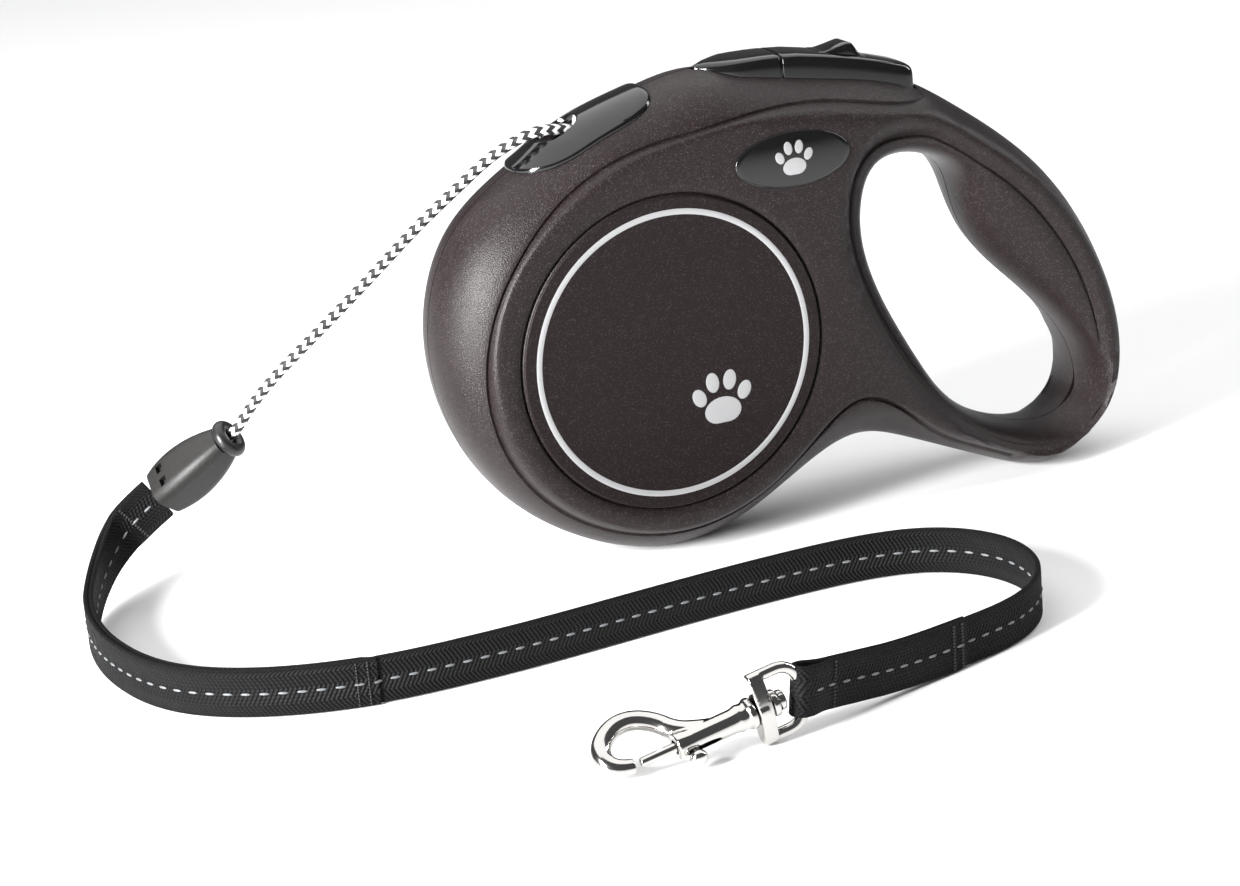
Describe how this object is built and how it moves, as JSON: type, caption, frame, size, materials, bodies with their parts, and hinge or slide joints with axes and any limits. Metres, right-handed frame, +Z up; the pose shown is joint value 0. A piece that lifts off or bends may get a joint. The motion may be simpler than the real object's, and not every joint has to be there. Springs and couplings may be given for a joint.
{
  "type": "retractable dog leash",
  "caption": "Handheld retractable leash: loop-handled case with a sprung cord reel and thumb brake, a round cord, a webbing strap and a swivelling bolt snap.",
  "frame": {"origin": "centre of the bottom of the case's bounding box, on the surface that it stands on; the cord, strap and snap are left out", "axes": "+X from the nose to the handle, +Y to the right half of the case, +Z up"},
  "size_m": [0.2909, 0.1899, 0.1266],
  "materials": {
    "case_plastic": "satin moulded plastic with a fine sparkle",
    "disc_plastic": "satin, slightly darker than the case",
    "gloss_black": "polished black",
    "reel_plastic": "natural nylon",
    "bush": "hard slippery plastic",
    "steel": "plain machined",
    "spring_steel": "blued spring steel",
    "nickel": "polished nickel plate",
    "cord_yarn": "black and white braid",
    "webbing": "woven nylon tape with a reflective stitch",
    "stopper_plastic": "matte black",
    "rubber_black": "smooth rubber"
  },
  "bodies": {
    "case": {"case_left": "case_plastic", "case_right": "case_plastic", "disc_left": "disc_plastic", "disc_right": "disc_plastic", "badge_left": "gloss_black", "badge_right": "gloss_black", "nozzle": "gloss_black", "cord_guide": "bush", "button_pin": "steel", "button_spring": "spring_steel", "reel_axle": "steel", "cord_lead": "cord_yarn", "case_screws": "steel", "cord": "cord_yarn", "o_ring": "rubber_black", "stopper_front": "stopper_plastic", "stopper_back": "stopper_plastic", "cord_knot": "cord_yarn", "cord_tail": "cord_yarn", "strap": "webbing"},
    "reel": {"reel_drum": "reel_plastic", "reel_flange": "reel_plastic", "spring_cover": "steel", "clock_spring": "spring_steel", "wound_cord": "cord_yarn"},
    "button": {"brake_button": "gloss_black", "brake_pawl": "reel_plastic"},
    "slider": {"lock_slider": "gloss_black"},
    "eye": {"swivel_eye": "nickel"},
    "snap": {"hook_body": "nickel", "hook_spring": "spring_steel"},
    "bolt": {"hook_plunger": "nickel"}
  },
  "joints": [
    {"name": "reel_spin", "type": "hinge", "parent": "case", "child": "reel", "pos_m": [-0.0393, 0, 0.0566], "axis": [0, 1, 0], "continuous": true},
    {"name": "brake_press", "type": "hinge", "parent": "case", "child": "button", "pos_m": [-0.0133, 0, 0.1186], "axis": [0, 1, 0], "range_deg": [0, 6.5], "stiffness_Nm_per_rad": 1, "springref_deg": -5.73, "deforming": ["button_spring"]},
    {"name": "lock_slide", "type": "slide", "parent": "button", "child": "slider", "axis": [-0.972, 0, 0.2351], "range_m": [0, 0.0055]},
    {"name": "eye_pivot", "type": "hinge", "parent": "case", "child": "eye", "pos_m": [-0.06209, -0.1349, 0.01138], "axis": [-0.1959, 0, 0.9806], "range_deg": [-35, 35]},
    {"name": "hook_swivel", "type": "hinge", "parent": "eye", "child": "snap", "pos_m": [-0.0715, -0.1349, 0.0095], "axis": [-0.9806, 0, -0.1959], "continuous": true},
    {"name": "bolt_slide", "type": "slide", "parent": "snap", "child": "bolt", "axis": [0.9806, 0, 0.1959], "range_m": [0, 0.006], "stiffness_N_per_m": 200, "springref_m": -0.004, "deforming": ["hook_spring"]}
  ]
}
